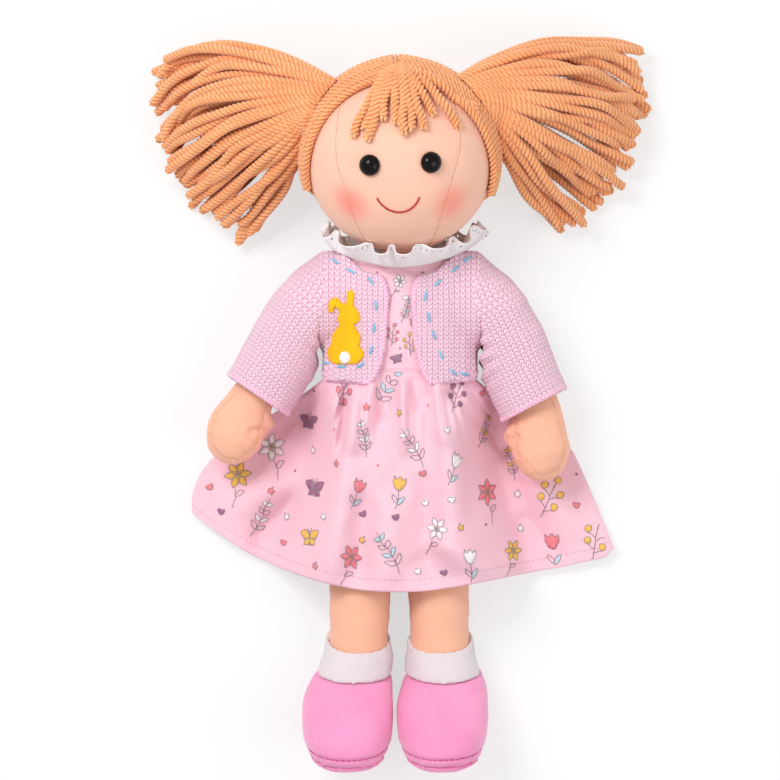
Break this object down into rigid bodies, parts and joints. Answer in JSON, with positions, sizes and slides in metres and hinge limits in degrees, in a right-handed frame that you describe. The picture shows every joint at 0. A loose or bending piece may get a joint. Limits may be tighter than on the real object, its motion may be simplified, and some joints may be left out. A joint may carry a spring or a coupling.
{
  "type": "soft doll",
  "caption": "Stuffed cloth doll with yarn hair in bunches, knitted cardigan, printed dress with a lace frill, ankle socks and sewn shoes, lying on its back.",
  "frame": {"origin": "on the table under the waist, at the flat of the cardigan's back", "axes": "+Y towards the head, +Z out of the chest, +X to the doll's own left hand"},
  "size_m": [0.2617, 0.3955, 0.1059],
  "materials": {
    "stuffed_cloth": "soft brushed woven cotton",
    "knitted_wool": "fine stocking stitch",
    "printed_cotton": "plain woven, small print",
    "lace": "openwork edging",
    "sock_jersey": "fine ribbed jersey",
    "shoe_felt": "soft matt fleece",
    "yarn": "loosely twisted yarn",
    "yellow_felt": "matt felt",
    "pompom": "fluffy",
    "eye_plastic": "polished",
    "washer_plastic": "moulded"
  },
  "bodies": {
    "torso": {"torso": "stuffed_cloth", "dress_bodice": "printed_cotton", "cardigan_back": "knitted_wool", "cardigan_front_right": "knitted_wool", "cardigan_front_left": "knitted_wool", "bunny_applique": "yellow_felt", "bunny_tail": "pompom", "neck_frill": "lace"},
    "neck": {"neck": "stuffed_cloth"},
    "head": {"head": "stuffed_cloth", "eye_right": "eye_plastic", "eye_left": "eye_plastic", "eye_washer_right": "washer_plastic", "eye_washer_left": "washer_plastic", "hair_right": "yarn", "hair_left": "yarn", "fringe": "yarn"},
    "pigtail_right": {"pigtail_right": "yarn", "hair_tie_right": "yarn"},
    "pigtail_left": {"pigtail_left": "yarn", "hair_tie_left": "yarn"},
    "arm_right": {"arm_right": "stuffed_cloth", "sleeve_right": "knitted_wool"},
    "arm_left": {"arm_left": "stuffed_cloth", "sleeve_left": "knitted_wool"},
    "lap": {"dress_skirt": "printed_cotton"},
    "leg_right": {"leg_right": "stuffed_cloth", "sock_right": "sock_jersey", "shoe_right": "shoe_felt", "sole_right": "shoe_felt"},
    "leg_left": {"leg_left": "stuffed_cloth", "sock_left": "sock_jersey", "shoe_left": "shoe_felt", "sole_left": "shoe_felt"}
  },
  "joints": [
    {"name": "neck_nod", "type": "hinge", "parent": "torso", "child": "neck", "pos_m": [0, 0.0615, 0.0289], "axis": [1, 0, 0], "range_deg": [0, 10], "deforming": ["neck_frill"]},
    {"name": "head_turn", "type": "hinge", "parent": "neck", "child": "head", "pos_m": [0, 0.1131, 0.0532], "axis": [0, 0.9047, 0.4261], "range_deg": [-20, 20]},
    {"name": "bunch_swing_right", "type": "hinge", "parent": "head", "child": "pigtail_right", "pos_m": [-0.0498, 0.14185, 0.0532], "axis": [0.5, 0.866, 0], "range_deg": [0, 30]},
    {"name": "bunch_swing_left", "type": "hinge", "parent": "head", "child": "pigtail_left", "pos_m": [0.0471, 0.14608, 0.0532], "axis": [0.5736, -0.8192, 0], "range_deg": [0, 30]},
    {"name": "arm_raise_right", "type": "hinge", "parent": "torso", "child": "arm_right", "pos_m": [-0.0434, 0.0345, 0.0289], "axis": [-1, 0, 0], "range_deg": [0, 90]},
    {"name": "arm_raise_left", "type": "hinge", "parent": "torso", "child": "arm_left", "pos_m": [0.0434, 0.0345, 0.0289], "axis": [-1, 0, 0], "range_deg": [0, 90]},
    {"name": "sit_fold", "type": "hinge", "parent": "torso", "child": "lap", "pos_m": [0, -0.0533, 0.0289], "axis": [-1, 0, 0], "range_deg": [0, 85], "deforming": ["dress_skirt"]},
    {"name": "leg_spread_right", "type": "hinge", "parent": "lap", "child": "leg_right", "pos_m": [-0.019, -0.0533, 0.0289], "axis": [0, 0, -1], "range_deg": [0, 10]},
    {"name": "leg_spread_left", "type": "hinge", "parent": "lap", "child": "leg_left", "pos_m": [0.019, -0.0533, 0.0289], "axis": [0, 0, 1], "range_deg": [0, 10]}
  ]
}
